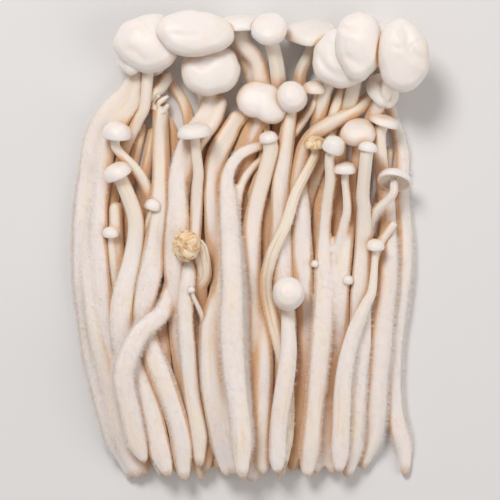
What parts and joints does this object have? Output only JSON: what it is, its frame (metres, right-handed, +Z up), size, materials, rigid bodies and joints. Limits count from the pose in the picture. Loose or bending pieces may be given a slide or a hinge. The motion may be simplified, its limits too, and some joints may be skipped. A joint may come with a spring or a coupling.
{
  "type": "bunch of enoki mushrooms",
  "caption": "Bunch of enoki mushrooms lying flat: long pale stalks, grown together in places, with small domed caps crowded at one end.",
  "frame": {"origin": "middle of the bunch's bounding box in plan, at the surface that it lies on", "axes": "+X across the bunch, +Y along the stalks from the feet to the caps, +Z up from the surface"},
  "size_m": [0.1238, 0.1646, 0.0305],
  "materials": {
    "pale_flesh": "satin",
    "dried_flesh": "matte"
  },
  "bodies": {
    "root": {"crown_stalk_far_right": "pale_flesh", "hidden_stalk_far_right": "pale_flesh", "crown_stalk_right": "pale_flesh", "crown_stalk_middle_right": "pale_flesh", "banana_cap": "pale_flesh", "hidden_stalk_right": "pale_flesh", "flat_cap": "pale_flesh", "small_crown_oval": "pale_flesh", "edge_on": "pale_flesh", "hidden_stalk_centre": "pale_flesh", "upper_oval_cap": "pale_flesh", "slender_crown_stalk": "pale_flesh", "crosswise_stalk": "pale_flesh", "hidden_stalk_left": "pale_flesh", "under_stalk_left": "pale_flesh", "hidden_stalk_far_left": "pale_flesh", "left_clump": "pale_flesh", "blunt_stalk": "pale_flesh", "left_dome": "pale_flesh", "brown_button": "pale_flesh", "torn_stalk": "pale_flesh", "tilted_dome": "pale_flesh", "forked_clump": "pale_flesh", "spread_cap": "pale_flesh", "pinhead_left": "pale_flesh", "dried_cap": "dried_flesh", "heart_cap": "pale_flesh", "broad_stalk": "pale_flesh", "arched_mushroom": "pale_flesh", "rough_stalk": "pale_flesh", "egg_cap": "pale_flesh", "split_stalk": "dried_flesh", "round_button": "pale_flesh", "right_clump": "pale_flesh", "droopy_cap": "pale_flesh", "gilled_cap": "pale_flesh", "fuzzy_stalk": "pale_flesh", "cut_stub": "pale_flesh", "right_button": "pale_flesh"}
  },
  "joints": []
}
